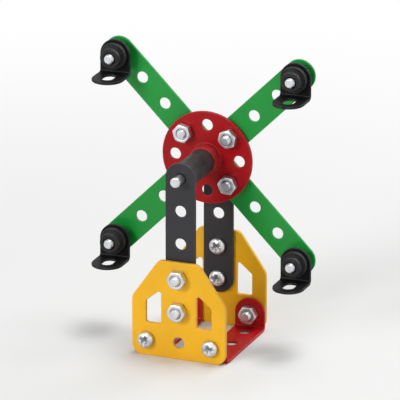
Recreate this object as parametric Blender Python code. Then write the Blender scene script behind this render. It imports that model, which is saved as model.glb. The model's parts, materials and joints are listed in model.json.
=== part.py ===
"""Toy ferris wheel bolted together from a metal construction set.

Two yellow base plates stand on two red folded strips.  Two black uprights carry the axle,
and a red disc with two crossed green strips turns on it.  A black angle bracket hangs from
each strip end as a seat.  Everything sits on one hole grid.  The wheel turns about Y,
the front of the toy faces -Y and it stands on z = 0.
"""
import math

import bmesh
import bpy
from mathutils import Matrix, Vector

MM = 0.001

# Hole grid and fits
PITCH = 12.7 * MM
CLEARANCE = 0.3 * MM
BOLT_DIA = 3.8 * MM
AXLE_DIA = 3.8 * MM
HOLE_DIA = BOLT_DIA + 2 * CLEARANCE
AXLE_HOLE_DIA = AXLE_DIA + 2 * CLEARANCE

# Strips: neighbours on the grid keep this gap, and the ends are half round
STRIP_GAP = 0.8 * MM
STRIP_WIDTH = PITCH - STRIP_GAP
STRIP_GAUGE = 1.0 * MM
BEND_RADIUS = 1.0 * MM
UPRIGHT_HOLES = 5
ARM_HOLES = 9
ARM_ANGLE = 45.0

# Folded base strips, measured over their tabs
BASE_STRIP_PITCHES = 3
BASE_STRIP_LENGTH = BASE_STRIP_PITCHES * PITCH

# Base plates: their edges and windows are measured from the rows and columns of their holes
PLATE_GAUGE = 1.6 * MM
PLATE_SIDE_MARGIN = 5.9 * MM
PLATE_TOP_MARGIN = 6.15 * MM
PLATE_TOP_WIDTH = 15.8 * MM
PLATE_SHOULDER_RISE = 3.55 * MM
PLATE_FOOT_RADIUS = 4.0 * MM
PLATE_SHOULDER_RADIUS = 6.0 * MM
PLATE_TOP_RADIUS = 3.0 * MM
WINDOW_SILL_RISE = 6.65 * MM
WINDOW_OUTER_RISE = 2.35 * MM
WINDOW_INNER_DROP = 5.35 * MM
WINDOW_POST = 14.0 * MM
WINDOW_RAIL = 5.6 * MM
WINDOW_RADIUS = 0.9 * MM

# Fasteners
HEAD_DIA = 6.2 * MM
HEAD_HEIGHT = 2.4 * MM
HEAD_RIM = 1.0 * MM
BOLT_LENGTH = 8.0 * MM
BOLT_CHAMFER = 0.4 * MM
NUT_WIDTH = 6.4 * MM
NUT_HEIGHT = 3.0 * MM

# Hub
DISC_DIA = 35.6 * MM
DISC_GAUGE = 1.2 * MM
DISC_CHAMFER = 0.24 * MM
DISC_HOLES = 8
BOSS_DIA = 11.0 * MM
BOSS_LENGTH = 5.0 * MM
GRUB_DIA = 2.4 * MM
GRUB_INSET = 0.2 * MM
DRILL_OVERRUN = 1.2 * MM

# Axle and the spacers on it
AXLE_LENGTH = 50.0 * MM
AXLE_FRONT_STAND = 5.3 * MM
TUBE_DIA = 9.8 * MM
REAR_SPACER_LENGTH = 6.9 * MM
TUBE_CHAMFER = 0.4 * MM

# Seats
SEAT_DROP = 7.8 * MM
SEAT_REACH = 13.8 * MM
SLOT_LENGTH = 7.0 * MM
SLOT_OFFSET = 7.0 * MM
BUSH_FLANGE_DIA = 10.0 * MM
BUSH_FLANGE_LENGTH = 2.0 * MM
BUSH_DIA = 7.6 * MM
BUSH_LENGTH = 5.0 * MM
SEAT_BOLT_STAND = 1.1 * MM

# Roundness, as the number of straight segments that stand in for a curve
HOLE_SEGMENTS = 16
END_SEGMENTS = 12
FILLET_SEGMENTS = 4
FOLD_SEGMENTS = 5
TURN_SEGMENTS = 16
DOME_SEGMENTS = 3
TUBE_SEGMENTS = 20
DISC_SEGMENTS = 48
SMALL_ROUND_SEGMENTS = 12

# Colours as (red, green, blue), written in screen values from 0 to 255
YELLOW = (240, 178, 32)
BLACK = (52, 50, 53)
RED = (196, 22, 32)
GREEN = (32, 140, 62)
SEAT_BLACK = (26, 26, 28)
PLASTIC_BLACK = (24, 24, 25)
ZINC = (196, 198, 202)


def row(number):
    """Height of a row of grid holes above the ground, the lowest being row 0."""
    return (number + 0.5) * PITCH


HUB_HEIGHT = row(UPRIGHT_HOLES)
PLATE_WIDTH = 2 * (PITCH + PLATE_SIDE_MARGIN)
PLATE_HEIGHT = row(2) + PLATE_TOP_MARGIN
ARM_REACH = (ARM_HOLES - 1) / 2 * PITCH

# Distances from the middle of the toy, front and rear alike, from the tabs outwards
TAB_OUTER = BASE_STRIP_LENGTH / 2
TAB_INNER = TAB_OUTER - STRIP_GAUGE
PLATE_INNER = TAB_OUTER + CLEARANCE
PLATE_OUTER = PLATE_INNER + PLATE_GAUGE

# Places along the axle, stacked from the rear upright towards the front one
ARM_A_BACK = TAB_INNER - CLEARANCE - REAR_SPACER_LENGTH - CLEARANCE
ARM_A_FRONT = ARM_A_BACK - STRIP_GAUGE
ARM_B_BACK = ARM_A_FRONT - CLEARANCE
ARM_B_FRONT = ARM_B_BACK - STRIP_GAUGE
DISC_BACK = ARM_B_FRONT - CLEARANCE
DISC_FRONT = DISC_BACK - DISC_GAUGE
BOSS_FRONT = DISC_FRONT - BOSS_LENGTH


def arc(centre, radius, start, end, steps):
    """Points on an arc between two angles in degrees, both ends included."""
    angles = [math.radians(start + (end - start) * i / steps) for i in range(steps + 1)]
    return [(centre[0] + radius * math.cos(a), centre[1] + radius * math.sin(a)) for a in angles]


def circle(centre, diameter, segments=HOLE_SEGMENTS):
    return arc(centre, diameter / 2, 0, 360, segments)[:-1]


def long_hole(centre, length, width):
    """A slot with half round ends, lying along the second axis."""
    reach = (length - width) / 2
    half = HOLE_SEGMENTS // 2
    top = arc((centre[0], centre[1] + reach), width / 2, 0, 180, half)
    return top + arc((centre[0], centre[1] - reach), width / 2, 180, 360, half)


def strip_outline(first, last, width):
    """A strip along the second axis, its half round ends centred on first and last."""
    top = arc((0, last), width / 2, 0, 180, END_SEGMENTS)
    return top + arc((0, first), width / 2, 180, 360, END_SEGMENTS)


def rounded(corners):
    """A polygon, given anticlockwise as (x, y, radius), with every corner rounded off."""
    outline = []
    for i, (x, y, radius) in enumerate(corners):
        corner = Vector((x, y))
        back = (Vector(corners[i - 1][:2]) - corner).normalized()
        ahead = (Vector(corners[(i + 1) % len(corners)][:2]) - corner).normalized()
        half_angle = back.angle(ahead) / 2
        centre = corner + (back + ahead).normalized() * radius / math.sin(half_angle)
        start = corner + back * radius / math.tan(half_angle) - centre
        sweep = 180 - 2 * math.degrees(half_angle)
        begin = math.degrees(math.atan2(start.y, start.x))
        outline += arc(centre, radius, begin, begin + sweep, FILLET_SEGMENTS)
    return outline


def blank(outline, holes, gauge, stations=()):
    """A flat sheet punched with holes, its middle plane on z = 0 and cut at each station along y."""
    work = bmesh.new()
    edges = []
    for loop in [outline] + list(holes):
        verts = [work.verts.new((x, y, -gauge / 2)) for x, y in loop]
        edges += [work.edges.new(pair) for pair in zip(verts, verts[1:] + verts[:1])]
    bmesh.ops.triangle_fill(work, edges=edges, use_beauty=True)
    for place in stations:
        everything = work.verts[:] + work.edges[:] + work.faces[:]
        bmesh.ops.bisect_plane(work, geom=everything, plane_co=(0, place, 0), plane_no=(0, 1, 0), dist=1e-7)
    lifted = bmesh.ops.extrude_face_region(work, geom=work.faces[:])["geom"]
    raised = [item for item in lifted if isinstance(item, bmesh.types.BMVert)]
    bmesh.ops.translate(work, verts=raised, vec=(0, 0, gauge))
    return work


def fold_stations(start, radius):
    """Where a sheet is cut so that it can follow a right-angled fold beginning at start."""
    return [start + radius * math.pi / 2 * i / FOLD_SEGMENTS for i in range(FOLD_SEGMENTS + 1)]


def fold(work, start, radius, side):
    """Bend the sheet beyond start through a right angle, up for side 1 and down for side -1."""
    length = radius * math.pi / 2
    for vert in work.verts:
        along = vert.co.y - start
        if along <= 0:
            continue
        angle = min(along, length) / radius
        rest = max(along - length, 0)
        arm = radius - side * vert.co.z
        vert.co.y = start + arm * math.sin(angle) + rest * math.cos(angle)
        vert.co.z = side * (radius - arm * math.cos(angle) + rest * math.sin(angle))


def mirror_along(work):
    """Turn the sheet end for end so that its other half can be folded the same way."""
    bmesh.ops.rotate(work, verts=work.verts, cent=(0, 0, 0), matrix=Matrix.Rotation(math.pi, 3, 'Z'))


def finish(work, name, stand=0.0):
    """Stand the piece up by a turn about X, in degrees, and make it a smooth shaded mesh."""
    bmesh.ops.rotate(work, verts=work.verts, cent=(0, 0, 0), matrix=Matrix.Rotation(math.radians(stand), 3, 'X'))
    bmesh.ops.recalc_face_normals(work, faces=work.faces)
    mesh = bpy.data.meshes.new(name)
    work.to_mesh(mesh)
    work.free()
    mesh.shade_smooth()
    mesh.set_sharp_from_angle(angle=math.radians(35))
    return mesh


def turned(name, profile, segments=TURN_SEGMENTS, closed=False):
    """A profile of (radius, y) points spun about the Y axis.

    A closed profile makes a ring, and an open one starts and ends on the axis.
    """
    work = bmesh.new()
    verts = [work.verts.new((radius, y, 0)) for radius, y in profile]
    ends = verts[1:] + verts[:1] if closed else verts[1:]
    edges = [work.edges.new(pair) for pair in zip(verts, ends)]
    bmesh.ops.spin(work, geom=verts + edges, cent=(0, 0, 0), axis=(0, 1, 0),
                   angle=2 * math.pi, steps=segments, use_merge=True)
    bmesh.ops.remove_doubles(work, verts=work.verts, dist=1e-6)
    return finish(work, name)


def sleeve(name, bore, steps, segments=TURN_SEGMENTS):
    """A turned sleeve: steps are the (radius, y) points of its outside, front to rear."""
    inside = [(bore / 2, steps[-1][1]), (bore / 2, steps[0][1])]
    return turned(name, list(steps) + inside, segments, closed=True)


def screen_colour(colour):
    """Screen values as the linear colour that a material takes."""
    shares = [value / 255 for value in colour]
    return [s / 12.92 if s <= 0.04045 else ((s + 0.055) / 1.055) ** 2.4 for s in shares] + [1.0]


def material(name, colour, roughness, metallic=0.0):
    finish_of = bpy.data.materials.new(name)
    finish_of.use_nodes = True
    surface = finish_of.node_tree.nodes["Principled BSDF"]
    surface.inputs["Base Color"].default_value = screen_colour(colour)
    surface.inputs["Roughness"].default_value = roughness
    surface.inputs["Metallic"].default_value = metallic
    return finish_of


def place(name, mesh, look, location=(0, 0, 0), parent=None, roll=0.0, face=0.0):
    """One piece: roll turns it about Y and face about Z, both in degrees."""
    piece = bpy.data.objects.new(name, mesh)
    if not mesh.materials:
        mesh.materials.append(look)
    piece.location = location
    piece.rotation_euler = (0, math.radians(roll), math.radians(face))
    piece.parent = parent
    bpy.context.collection.objects.link(piece)
    return piece


def frame(name, location, parent=None):
    """An empty on a joint's axis, which carries the pieces that turn about it."""
    axis = bpy.data.objects.new(name, None)
    axis.empty_display_size = PITCH
    axis.location = location
    axis.parent = parent
    bpy.context.collection.objects.link(axis)
    return axis


def strip_mesh(name, holes):
    """A flat strip with half round ends, standing along Z with its middle at the origin."""
    reach = (holes - 1) / 2 * PITCH
    centres = [(0, i * PITCH - reach) for i in range(holes)]
    outline = strip_outline(-reach, reach, STRIP_WIDTH)
    return finish(blank(outline, [circle(c, HOLE_DIA) for c in centres], STRIP_GAUGE), name, stand=90)


def base_strip_mesh():
    """A strip folded up at both ends into round-topped tabs, flat on the ground."""
    radius = BEND_RADIUS + STRIP_GAUGE / 2
    start = TAB_OUTER - STRIP_GAUGE / 2 - radius
    tab_hole = start + radius * math.pi / 2 + row(0) - STRIP_GAUGE / 2 - radius
    span = (BASE_STRIP_PITCHES - 1) / 2
    floor_holes = [(0, (i - span) * PITCH) for i in range(BASE_STRIP_PITCHES)]
    holes = [circle(c, HOLE_DIA) for c in [(0, -tab_hole)] + floor_holes + [(0, tab_hole)]]
    cuts = fold_stations(start, radius)
    outline = strip_outline(-tab_hole, tab_hole, STRIP_WIDTH)
    work = blank(outline, holes, STRIP_GAUGE, cuts + [-cut for cut in cuts])
    for _ in range(2):
        fold(work, start, radius, side=1)
        mirror_along(work)
    bmesh.ops.translate(work, verts=work.verts, vec=(0, 0, STRIP_GAUGE / 2))
    return finish(work, "base_strip")


def plate_mesh():
    """A base plate with sloping shoulders, five bolt holes and two windows, its foot on z = 0."""
    foot = PLATE_WIDTH / 2
    top = PLATE_TOP_WIDTH / 2
    right = [(foot, 0, PLATE_FOOT_RADIUS), (foot, row(1) + PLATE_SHOULDER_RISE, PLATE_SHOULDER_RADIUS),
             (top, PLATE_HEIGHT, PLATE_TOP_RADIUS)]
    outline = rounded(right + [(-x, z, radius) for x, z, radius in reversed(right)])
    centres = [(-PITCH, row(0)), (0, row(0)), (PITCH, row(0)), (0, row(1)), (0, row(2))]
    inner = WINDOW_POST / 2
    outer = foot - WINDOW_RAIL
    sill = row(0) + WINDOW_SILL_RISE
    corners = [(inner, sill), (outer, sill), (outer, row(1) + WINDOW_OUTER_RISE),
               (inner, row(2) - WINDOW_INNER_DROP)]
    window = rounded([(x, z, WINDOW_RADIUS) for x, z in corners])
    other_window = [(-x, z) for x, z in reversed(window)]
    holes = [circle(c, HOLE_DIA) for c in centres] + [window, other_window]
    return finish(blank(outline, holes, PLATE_GAUGE), "base_plate", stand=90)


def seat_mesh():
    """An angle bracket hung by its hole: a round-topped leg, folded forwards into a slotted foot."""
    radius = BEND_RADIUS + STRIP_GAUGE / 2
    start = SEAT_DROP - STRIP_GAUGE / 2 - radius
    past_fold = start + radius * math.pi / 2 - radius - STRIP_GAUGE / 2
    foot_end = past_fold + SEAT_REACH - STRIP_WIDTH / 2
    outline = strip_outline(0, foot_end, STRIP_WIDTH)
    slot = long_hole((0, past_fold + SLOT_OFFSET), SLOT_LENGTH, HOLE_DIA)
    work = blank(outline, [circle((0, 0), HOLE_DIA), slot], STRIP_GAUGE, fold_stations(start, radius))
    fold(work, start, radius, side=-1)
    return finish(work, "seat_bracket", stand=-90)


def bolt_mesh(name, length):
    """A pan head screw along Y: the head stands in front of y = 0 and the shank runs behind it."""
    head = HEAD_DIA / 2
    shank = BOLT_DIA / 2
    dome = [(head * across, -HEAD_RIM - (HEAD_HEIGHT - HEAD_RIM) * up)
            for up, across in arc((0, 0), 1, 0, 90, DOME_SEGMENTS)]
    foot = [(head, 0), (shank, 0), (shank, length - BOLT_CHAMFER), (shank - BOLT_CHAMFER, length), (0, length)]
    return turned(name, dome + foot)


def nut_mesh():
    """A hexagon nut along Y, its front face on y = 0 and a flat side up."""
    corners = arc((0, 0), NUT_WIDTH / math.sqrt(3), 0, 360, 6)[:-1]
    work = blank(corners, [circle((0, 0), HOLE_DIA, SMALL_ROUND_SEGMENTS)], NUT_HEIGHT)
    bmesh.ops.translate(work, verts=work.verts, vec=(0, 0, -NUT_HEIGHT / 2))
    return finish(work, "nut", stand=90)


def disc_mesh():
    """The hub disc and its boss, turned as one piece, with the disc's front face on y = 0."""
    rim = DISC_DIA / 2
    boss = BOSS_DIA / 2
    outside = [(boss - TUBE_CHAMFER, -BOSS_LENGTH), (boss, TUBE_CHAMFER - BOSS_LENGTH), (boss, 0),
               (rim - DISC_CHAMFER, 0), (rim, DISC_CHAMFER),
               (rim, DISC_GAUGE - DISC_CHAMFER), (rim - DISC_CHAMFER, DISC_GAUGE)]
    return sleeve("hub_disc", AXLE_HOLE_DIA, outside, DISC_SEGMENTS)


def tube_mesh(name, length):
    """A black spacer with chamfered ends, its front end on y = 0."""
    wall = TUBE_DIA / 2
    outside = [(wall - TUBE_CHAMFER, 0), (wall, TUBE_CHAMFER),
               (wall, length - TUBE_CHAMFER), (wall - TUBE_CHAMFER, length)]
    return sleeve(name, AXLE_HOLE_DIA, outside, TUBE_SEGMENTS)


def bush_mesh():
    """The stepped bush that keeps a seat on its bolt: slim in front, wide behind, front on y = 0."""
    slim = BUSH_DIA / 2
    wide = BUSH_FLANGE_DIA / 2
    step = BUSH_LENGTH - BUSH_FLANGE_LENGTH
    outside = [(slim - TUBE_CHAMFER, 0), (slim, TUBE_CHAMFER), (slim, step),
               (wide - TUBE_CHAMFER, step), (wide, step + TUBE_CHAMFER), (wide, BUSH_LENGTH)]
    return sleeve("bush", HOLE_DIA, outside)


def rod_mesh(name, diameter, length):
    """A rod along Y with chamfered ends, its front end on y = 0."""
    radius = diameter / 2
    slim = radius - BOLT_CHAMFER
    return turned(name, [(0, 0), (slim, 0), (radius, BOLT_CHAMFER),
                         (radius, length - BOLT_CHAMFER), (slim, length), (0, length)])


def drill(name, places, target):
    """Cut holes through the target with rods given as (location, turn about X, diameter, length)."""
    work = bmesh.new()
    for location, tilt, diameter, length in places:
        spin = Matrix.Translation(location) @ Matrix.Rotation(math.radians(tilt), 4, 'X')
        bmesh.ops.create_cone(work, cap_ends=True, segments=HOLE_SEGMENTS, radius1=diameter / 2,
                              radius2=diameter / 2, depth=length, matrix=spin)
    mesh = bpy.data.meshes.new(name)
    work.to_mesh(mesh)
    work.free()
    cutter = bpy.data.objects.new(name, mesh)
    cutter.parent = target.parent
    cutter.location = target.location
    cutter.hide_render = True
    cutter.display_type = 'WIRE'
    bpy.context.collection.objects.link(cutter)
    cut = target.modifiers.new("Drilled", 'BOOLEAN')
    cut.object = cutter
    cut.operation = 'DIFFERENCE'
    cut.solver = 'EXACT'


def bolt_with_nut(title, spot, head_y, nut_y, parts, parent=None, forwards=False):
    """A screw and its nut on one hole: the shank runs to the rear, or forwards if asked.

    head_y is the face that the head seats on and nut_y the face that the nut seats on.
    """
    bolt, nut, look = parts
    x, z = spot
    way = -1 if forwards else 1
    place(title + "_bolt", bolt, look, (x, head_y - way * CLEARANCE, z), parent, face=180 if forwards else 0)
    front = nut_y + CLEARANCE if way > 0 else nut_y - CLEARANCE - NUT_HEIGHT
    place(title + "_nut", nut, look, (x, front, z), parent)


def build_base(looks, parts):
    """Plates, uprights and folded strips, with the screws that hold them together."""
    yellow, black, red = looks
    plate = plate_mesh()
    place("front_base_plate", plate, yellow, (0, -PLATE_INNER - PLATE_GAUGE / 2, 0))
    place("rear_base_plate", plate, yellow, (0, PLATE_INNER + PLATE_GAUGE / 2, 0))
    upright = strip_mesh("upright", UPRIGHT_HOLES)
    middle = HUB_HEIGHT - (UPRIGHT_HOLES - 1) / 2 * PITCH
    layer = TAB_OUTER - STRIP_GAUGE / 2
    place("front_upright", upright, black, (0, -layer, middle))
    place("rear_upright", upright, black, (0, layer, middle))
    strip = base_strip_mesh()
    for side, x in (("left", -PITCH), ("right", PITCH)):
        place(side + "_base_strip", strip, red, (x, 0, 0))
        bolt_with_nut("front_" + side + "_foot", (x, row(0)), -PLATE_OUTER, -TAB_INNER, parts)
        bolt_with_nut("rear_" + side + "_foot", (x, row(0)), PLATE_OUTER, TAB_INNER, parts, forwards=True)
    for level, height in (("lower", row(1)), ("upper", row(2))):
        bolt_with_nut("front_upright_" + level, (0, height), -TAB_INNER, -PLATE_OUTER, parts, forwards=True)
        bolt_with_nut("rear_upright_" + level, (0, height), TAB_INNER, PLATE_OUTER, parts)


def build_wheel(looks, parts):
    """The axle and all that is fixed to it."""
    red, green, black, zinc = looks
    wheel = frame("wheel_axis", (0, 0, HUB_HEIGHT))
    place("axle", rod_mesh("axle", AXLE_DIA, AXLE_LENGTH), zinc, (0, -TAB_OUTER - AXLE_FRONT_STAND, 0), wheel)
    tube_front = CLEARANCE - TAB_INNER
    tube_length = BOSS_FRONT - CLEARANCE - tube_front
    place("front_spacer_tube", tube_mesh("tube", tube_length), black, (0, tube_front, 0), wheel)
    place("rear_spacer", tube_mesh("spacer", REAR_SPACER_LENGTH), black, (0, ARM_A_BACK + CLEARANCE, 0), wheel)
    disc = place("hub_disc", disc_mesh(), red, (0, DISC_FRONT, 0), wheel)
    angles = [2 * math.pi * i / DISC_HOLES for i in range(DISC_HOLES)]
    depth = DISC_GAUGE + 2 * DRILL_OVERRUN
    holes = [((PITCH * math.cos(a), DISC_GAUGE / 2, PITCH * math.sin(a)), 90, HOLE_DIA, depth) for a in angles]
    grub_place = (0, -BOSS_LENGTH / 2, -BOSS_DIA / 2)
    holes.append((grub_place, 0, GRUB_DIA + 2 * CLEARANCE, BOSS_DIA - AXLE_HOLE_DIA / 2))
    drill("hub_drill", holes, disc)
    place("arm_a", strip_mesh("arm_a", ARM_HOLES), green, (0, (ARM_A_BACK + ARM_A_FRONT) / 2, 0), wheel, -ARM_ANGLE)
    place("arm_b", strip_mesh("arm_b", ARM_HOLES), green, (0, (ARM_B_BACK + ARM_B_FRONT) / 2, 0), wheel, ARM_ANGLE)
    grub_length = BOSS_DIA / 2 - GRUB_INSET - AXLE_DIA / 2 - CLEARANCE
    grub = finish(blank(circle((0, 0), GRUB_DIA, SMALL_ROUND_SEGMENTS), [], grub_length), "grub_screw")
    grub_drop = AXLE_DIA / 2 + CLEARANCE + grub_length / 2
    place("hub_grub_screw", grub, zinc, (0, DISC_FRONT - BOSS_LENGTH / 2, -grub_drop), wheel)
    for title, spot, back in arm_spots(PITCH):
        bolt_with_nut("hub_" + title, spot, back, DISC_FRONT, parts, wheel, forwards=True)
    return wheel


def arm_spots(distance):
    """The four places at a distance along the arms, each with its name and the arm's rear face."""
    across = distance * math.sin(math.radians(ARM_ANGLE))
    up = distance * math.cos(math.radians(ARM_ANGLE))
    return [("upper_left", (-across, up), ARM_A_BACK), ("lower_right", (across, -up), ARM_A_BACK),
            ("upper_right", (across, up), ARM_B_BACK), ("lower_left", (-across, -up), ARM_B_BACK)]


def build_seats(wheel, looks, nut):
    """On each arm end a screw, its lock nut, a swinging bracket and the bush that keeps it on."""
    seat_black, plastic, zinc = looks
    stack = NUT_HEIGHT + STRIP_GAUGE + BUSH_LENGTH + 3 * CLEARANCE
    length = CLEARANCE + STRIP_GAUGE + stack + SEAT_BOLT_STAND + CLEARANCE
    bolt = bolt_mesh("seat_bolt", length)
    seat = seat_mesh()
    bush = bush_mesh()
    for title, (x, z), back in arm_spots(ARM_REACH):
        nut_front = back - STRIP_GAUGE - CLEARANCE - NUT_HEIGHT
        leg_back = nut_front - CLEARANCE
        bush_front = leg_back - STRIP_GAUGE - CLEARANCE - BUSH_LENGTH
        place("seat_bolt_" + title, bolt, zinc, (x, back + CLEARANCE, z), wheel, face=180)
        place("seat_lock_nut_" + title, nut, zinc, (x, nut_front, z), wheel)
        place("seat_bush_" + title, bush, plastic, (x, bush_front, z), wheel)
        swing = frame("seat_axis_" + title, (x, leg_back - STRIP_GAUGE / 2, z), wheel)
        place("seat_bracket_" + title, seat, seat_black, parent=swing)


def main():
    for old in list(bpy.data.objects):
        bpy.data.objects.remove(old, do_unlink=True)
    yellow = material("yellow_paint", YELLOW, 0.35)
    black = material("black_paint", BLACK, 0.45)
    red = material("red_paint", RED, 0.35)
    green = material("green_paint", GREEN, 0.35)
    seat_black = material("seat_black", SEAT_BLACK, 0.5)
    plastic = material("black_plastic", PLASTIC_BLACK, 0.55)
    zinc = material("zinc_plate", ZINC, 0.3, metallic=1.0)
    nut = nut_mesh()
    parts = (bolt_mesh("short_bolt", BOLT_LENGTH), nut, zinc)
    build_base((yellow, black, red), parts)
    wheel = build_wheel((red, green, plastic, zinc), parts)
    build_seats(wheel, (seat_black, plastic, zinc), nut)


main()
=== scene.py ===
import json
import math

import bmesh
import bpy
import numpy as np
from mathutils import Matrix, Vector
from mathutils.geometry import delaunay_2d_cdt

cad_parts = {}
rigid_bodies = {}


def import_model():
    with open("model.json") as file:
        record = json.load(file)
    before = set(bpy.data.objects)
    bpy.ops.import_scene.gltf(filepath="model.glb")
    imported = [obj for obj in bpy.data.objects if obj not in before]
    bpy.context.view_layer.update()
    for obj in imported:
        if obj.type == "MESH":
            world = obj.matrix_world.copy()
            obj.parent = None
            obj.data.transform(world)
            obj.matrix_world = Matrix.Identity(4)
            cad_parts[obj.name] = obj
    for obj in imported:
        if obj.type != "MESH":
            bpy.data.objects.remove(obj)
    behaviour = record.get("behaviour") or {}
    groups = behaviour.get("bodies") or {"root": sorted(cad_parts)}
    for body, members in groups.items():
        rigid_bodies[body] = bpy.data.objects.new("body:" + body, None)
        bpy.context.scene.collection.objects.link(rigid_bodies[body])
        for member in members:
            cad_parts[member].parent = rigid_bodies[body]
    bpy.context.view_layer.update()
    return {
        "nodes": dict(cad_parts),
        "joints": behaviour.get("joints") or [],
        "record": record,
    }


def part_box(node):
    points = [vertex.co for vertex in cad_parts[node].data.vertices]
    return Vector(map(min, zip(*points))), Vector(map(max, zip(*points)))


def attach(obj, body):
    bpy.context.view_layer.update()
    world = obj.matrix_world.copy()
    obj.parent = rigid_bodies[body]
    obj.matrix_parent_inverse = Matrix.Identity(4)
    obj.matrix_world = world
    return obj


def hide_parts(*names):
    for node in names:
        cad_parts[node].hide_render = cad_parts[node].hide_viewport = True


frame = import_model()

# The cube, lamp and camera of a new Blender file aren't part of the toy.
for stray in [thing for thing in bpy.data.objects if thing.name in ("Cube", "Light", "Camera")]:
    bpy.data.objects.remove(stray, do_unlink=True)

# Base plates
# Two alike: shouldered sheets with two windows and five bolt holes, pressed from sheet steel
# and stove enamelled amber yellow.  They are bolted upright to the outside of the strips' tabs.
MM = 0.001
PITCH = 12.7 * MM
HOLE_DIA = 4.4 * MM
HOLE_STEPS = 48
PLATE_EDGE = 0.35 * MM
PLATE_SHOULDER = 22.6 * MM
PLATE_TOP_WIDTH = 15.8 * MM
FOOT_RADIUS = 4.0 * MM
SHOULDER_RADIUS = 6.0 * MM
TOP_RADIUS = 3.0 * MM
PLATE_HOLE_PITCHES = ((-1, 0.5), (0, 0.5), (1, 0.5), (0, 1.5), (0, 2.5))
WINDOW_SILL = 13.0 * MM
WINDOW_OUTER_TOP = 21.4 * MM
WINDOW_INNER_TOP = 26.4 * MM
WINDOW_POST = 14.0 * MM
WINDOW_WIDTH = 6.0 * MM
WINDOW_RADIUS = 0.9 * MM
FILLET_STEPS = 10
EDGE_STEPS = 5
LIP = 0.12 * MM
YELLOW = (0.890, 0.462, 0.010)
CLOUDS_PER_METRE = 70.0
CHIPS_PER_METRE = 400.0
PEEL_PER_METRE = 900.0
DUST_PER_METRE = 6000.0
PEEL_DEPTH = 0.035 * MM


def arc(centre, radius, start, end, steps):
    """Points (cos a, sin a) * radius + centre for evenly spaced angles a in degrees."""
    a = np.radians(np.linspace(start, end, steps + 1))
    return np.stack([centre[0] + radius * np.cos(a), centre[1] + radius * np.sin(a)], -1)


def circle(centre, diameter, steps=HOLE_STEPS):
    """A full arc without its last point, which would repeat the first."""
    return arc(centre, diameter / 2, 0, 360, steps)[:-1]


def rounded(corners):
    """An anticlockwise polygon of (x, y, radius): each corner is an arc that touches both sides."""
    spots = np.array([corner[:2] for corner in corners])
    radii = [corner[2] for corner in corners]
    pieces = []
    for spot, before, after, radius in zip(spots, np.roll(spots, 1, 0), np.roll(spots, -1, 0), radii):
        back = (before - spot) / np.linalg.norm(before - spot)
        ahead = (after - spot) / np.linalg.norm(after - spot)
        half = math.acos(np.clip(back @ ahead, -1, 1)) / 2
        middle = (back + ahead) / np.linalg.norm(back + ahead)
        centre = spot + middle * radius / math.sin(half)
        first = spot + back * radius / math.tan(half) - centre
        begin = math.degrees(math.atan2(first[1], first[0]))
        end = begin + 180 - 2 * math.degrees(half)
        pieces.append(arc(centre, radius, begin, end, FILLET_STEPS))
    return np.concatenate(pieces)


def rolled_edge(gauge, edge):
    """Rows of (inset, height) across a sheet's edge: a quarter circle, the wall, a quarter circle.

    A first and a last row lie a little further in on the flat faces.
    """
    turn = np.linspace(0, math.pi / 2, EDGE_STEPS)
    upper = np.stack([edge - edge * np.sin(turn), gauge / 2 - edge + edge * np.cos(turn)], -1)
    upper = np.concatenate([[[edge + LIP, gauge / 2]], upper])
    return np.concatenate([upper, upper[::-1] * (1, -1)])


def quads(rows, columns, closed_rows=False):
    """Four-cornered faces of a grid whose columns run round and meet, and whose rows may too."""
    strips = rows if closed_rows else rows - 1
    row, column = np.meshgrid(np.arange(strips), np.arange(columns), indexing="ij")
    here = row * columns
    below = (row + 1) % rows * columns
    beside = (column + 1) % columns
    corners = [here + column, here + beside, below + beside, below + column]
    return np.stack(corners, -1).reshape(-1, 4)


def flat_face(loops, starts, inner, inner_start):
    """Triangles between an outline and its holes, through the inner points, by constrained Delaunay.

    Each loop's first point has the index in starts, and the first inner point has inner_start.
    """
    flat = np.concatenate(loops + [inner]) / MM
    index = [start + np.arange(len(loop)) for loop, start in zip(loops, starts)]
    index = np.concatenate(index + [inner_start + np.arange(len(inner))]).astype(int)
    ends = np.cumsum([0] + [len(loop) for loop in loops])
    rings = [list(range(a, b)) for a, b in zip(ends[:-1], ends[1:])]
    _, _, faces, origins, _, owners = delaunay_2d_cdt([Vector(p) for p in flat], [], rings, 0, 1e-7)
    kept = [face for face, owner in zip(faces, owners) if list(owner) == [0]]
    first = np.array([origin[0] for origin in origins])
    return index[first[np.array(kept)]]


def punched(loops, profiles, inner=np.zeros((0, 2))):
    """A sheet with holes: on each loop a profile of (inset, height) rows, and two flat faces.

    A point of a row is the loop's point moved by the inset along the normal into the sheet.
    The outline comes first, anticlockwise like every hole.  Returns points, faces and a mask
    that is 1 on the edges and 0 on the flat faces.
    """
    points, faces, mask = [], [], []
    tops, top_starts, bottoms, bottom_starts = [], [], [], []
    total = 0
    for loop, profile in zip(loops, profiles):
        run = np.roll(loop, -1, 0) - np.roll(loop, 1, 0)
        run /= np.linalg.norm(run, axis=1, keepdims=True)
        side = 1 if total == 0 else -1
        normal = np.stack([-run[:, 1], run[:, 0]], -1) * side
        rows = loop[None] + profile[:, None, :1] * normal[None]
        height = np.broadcast_to(profile[:, None, 1:], rows.shape[:2] + (1,))
        points.append(np.concatenate([rows, height], -1).reshape(-1, 3))
        faces.append(quads(len(profile), len(loop)) + total)
        on_edge = np.ones(len(profile))
        on_edge[[0, -1]] = 0
        mask.append(np.repeat(on_edge, len(loop)))
        tops.append(rows[0])
        bottoms.append(rows[-1])
        top_starts.append(total)
        bottom_starts.append(total + (len(profile) - 1) * len(loop))
        total += rows.shape[0] * rows.shape[1]
    for level, rims, starts in ((0, tops, top_starts), (-1, bottoms, bottom_starts)):
        faces.append(flat_face(rims, starts, inner, total))
        height = np.full((len(inner), 1), profiles[0][level, 1])
        points.append(np.concatenate([inner, height], -1))
        mask.append(np.zeros(len(inner)))
        total += len(inner)
    return np.concatenate(points), faces, np.concatenate(mask)


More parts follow.
